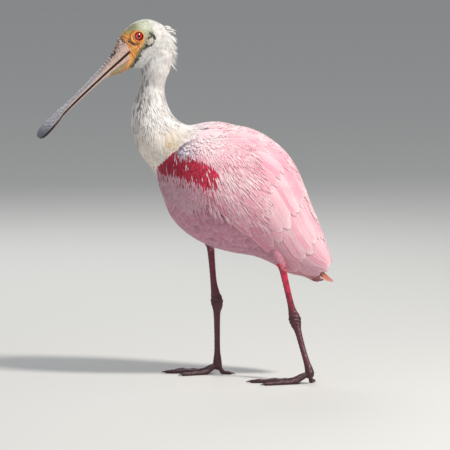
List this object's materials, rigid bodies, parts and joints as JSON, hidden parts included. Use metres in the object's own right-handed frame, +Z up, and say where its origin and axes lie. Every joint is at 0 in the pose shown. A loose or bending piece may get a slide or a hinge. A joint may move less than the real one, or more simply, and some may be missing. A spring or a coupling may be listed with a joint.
{
  "type": "roseate spoonbill model",
  "caption": "Life-size still model of a roseate spoonbill, a wading bird standing with one foot forward, wings folded and its long spoon-shaped bill lowered to one side.",
  "frame": {"origin": "under the middle of the model's box, on the floor", "axes": "+Z up; the bird walks towards -X, and its left side is -Y"},
  "size_m": [0.414, 0.173, 0.5041],
  "materials": {
    "body_plumage": "matte",
    "neck_plumage": "matte",
    "wing_plumage": "matte",
    "tail_plumage": "matte",
    "head_skin": "matte",
    "bill": "satin",
    "eye": "gloss",
    "leg_skin": "satin",
    "claw": "satin"
  },
  "bodies": {
    "root": {"torso": "body_plumage", "neck_lower": "neck_plumage", "neck_upper": "neck_plumage", "head": "head_skin", "bill_upper": "bill", "bill_lower": "bill", "eye_left": "eye", "eye_right": "eye", "wing_left": "wing_plumage", "wing_right": "wing_plumage", "tail": "tail_plumage", "thigh_left": "body_plumage", "shank_left": "leg_skin", "tarsus_left": "leg_skin", "foot_left": "leg_skin", "claw_hind_left": "claw", "claw_inner_left": "claw", "claw_middle_left": "claw", "claw_outer_left": "claw", "thigh_right": "body_plumage", "shank_right": "leg_skin", "tarsus_right": "leg_skin", "foot_right": "leg_skin", "claw_hind_right": "claw", "claw_inner_right": "claw", "claw_middle_right": "claw", "claw_outer_right": "claw"}
  },
  "joints": []
}
